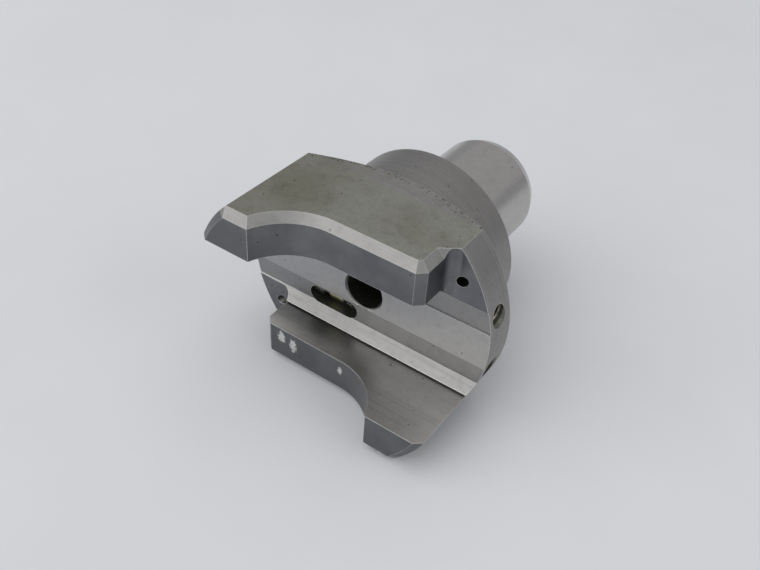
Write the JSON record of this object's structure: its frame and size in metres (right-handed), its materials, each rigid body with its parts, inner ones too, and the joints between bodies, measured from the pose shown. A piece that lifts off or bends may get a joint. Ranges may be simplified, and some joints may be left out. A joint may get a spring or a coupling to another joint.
{
  "type": "boring head",
  "caption": "Body of a twin-cutter boring head: open cross slot between stepped jaws, screw feeds under its floor, and a ground cylindrical coupling pilot with a floating cross pin.",
  "frame": {"origin": "on the tool axis, in the plane of the slot floor", "axes": "-Y is forward along the tool axis, +Y towards the coupling pilot, +X along the cross slot, +Z across it, square to the milled flats"},
  "size_m": [0.085, 0.101, 0.0606],
  "materials": {
    "head_steel": "machined and ground, worn",
    "screw_steel": "black oxide",
    "thrust_steel": "ground, oily",
    "spring_steel": "drawn wire",
    "plug_steel": "black oxide",
    "pin_steel": "hardened and ground",
    "ring_rubber": "matte"
  },
  "bodies": {
    "head": {"head_body": "head_steel", "bore_plug": "plug_steel", "spring_screw_upper": "screw_steel", "spring_screw_lower": "screw_steel", "return_spring_upper": "spring_steel", "return_spring_lower": "spring_steel"},
    "thrust_upper": {"thrust_piece_upper": "thrust_steel"},
    "screw_upper": {"adjusting_screw_upper": "screw_steel"},
    "thrust_lower": {"thrust_piece_lower": "thrust_steel"},
    "screw_lower": {"adjusting_screw_lower": "screw_steel"},
    "pilot_pin": {"coupling_pin": "pin_steel", "coupling_pin_ring": "ring_rubber"}
  },
  "joints": [
    {"name": "thrust_slide_upper", "type": "slide", "parent": "head", "child": "thrust_upper", "axis": [1, 0, 0], "range_m": [-0.0022, 0.003]},
    {"name": "adjusting_turn_upper", "type": "hinge", "parent": "thrust_upper", "child": "screw_upper", "pos_m": [0.0145, 0.0051, 0.0103], "axis": [1, 0, 0], "range_deg": [-813, 1100]},
    {"name": "thrust_slide_lower", "type": "slide", "parent": "head", "child": "thrust_lower", "axis": [-1, 0, 0], "range_m": [-0.0022, 0.003]},
    {"name": "adjusting_turn_lower", "type": "hinge", "parent": "thrust_lower", "child": "screw_lower", "pos_m": [-0.0145, 0.0051, -0.0103], "axis": [-1, 0, 0], "range_deg": [-813, 1100]},
    {"name": "coupling_pin_slide", "type": "slide", "parent": "head", "child": "pilot_pin", "axis": [1, 0, 0], "range_m": [-0.0005, 0.0005]}
  ],
  "couplings": [
    {"joint": "adjusting_turn_upper", "follows": "thrust_slide_upper", "rad_per_m": 6283.2},
    {"joint": "adjusting_turn_lower", "follows": "thrust_slide_lower", "rad_per_m": 6283.2}
  ]
}
